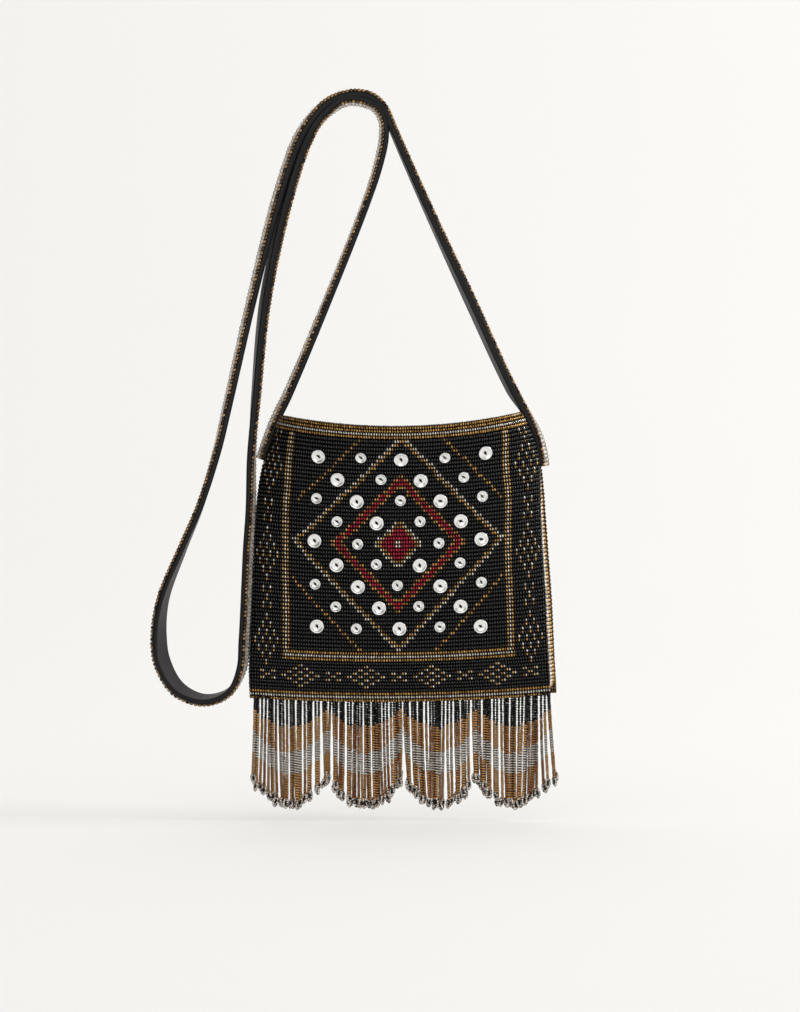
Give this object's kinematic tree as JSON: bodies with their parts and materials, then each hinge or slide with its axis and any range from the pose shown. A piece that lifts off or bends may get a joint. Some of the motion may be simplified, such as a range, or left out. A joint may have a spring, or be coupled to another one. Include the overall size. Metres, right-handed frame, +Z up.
{
  "type": "beaded fringe shoulder bag",
  "caption": "Small open beaded shoulder bag with a beaded gusset, sewn metal discs, a long leather-backed strap hung doubled and a scalloped bead fringe.",
  "frame": {"origin": "underside of the strap's inner turn, where the doubled strap hangs on a hook or peg", "axes": "+Z up, front towards -Y, +X to the right seen from the front"},
  "size_m": [0.2389, 0.0826, 0.4225],
  "materials": {
    "black_beads": "opaque black glass seed beads",
    "gold_beads": "metallic gold glass seed beads",
    "leather": "smooth black leather",
    "bronze_beads": "bronze, silver and black glass seed beads",
    "silver_disc": "bright stamped metal"
  },
  "bodies": {
    "root": {"front_panel": "black_beads", "back_panel": "black_beads", "gusset": "gold_beads", "strap": "leather", "fringe": "bronze_beads", "stud_01": "silver_disc", "stud_02": "silver_disc", "stud_03": "silver_disc", "stud_04": "silver_disc", "stud_05": "silver_disc", "stud_06": "silver_disc", "stud_07": "silver_disc", "stud_08": "silver_disc", "stud_09": "silver_disc", "stud_10": "silver_disc", "stud_11": "silver_disc", "stud_12": "silver_disc", "stud_13": "silver_disc", "stud_14": "silver_disc", "stud_15": "silver_disc", "stud_16": "silver_disc", "stud_17": "silver_disc", "stud_18": "silver_disc", "stud_19": "silver_disc", "stud_20": "silver_disc", "stud_21": "silver_disc", "stud_22": "silver_disc", "stud_23": "silver_disc", "stud_24": "silver_disc", "stud_25": "silver_disc", "stud_26": "silver_disc", "stud_27": "silver_disc", "stud_28": "silver_disc", "stud_29": "silver_disc", "stud_30": "silver_disc", "stud_31": "silver_disc", "stud_32": "silver_disc", "stud_33": "silver_disc", "stud_34": "silver_disc", "stud_35": "silver_disc", "stud_36": "silver_disc", "stud_37": "silver_disc", "stud_38": "silver_disc", "stud_39": "silver_disc", "stud_40": "silver_disc"}
  },
  "joints": []
}
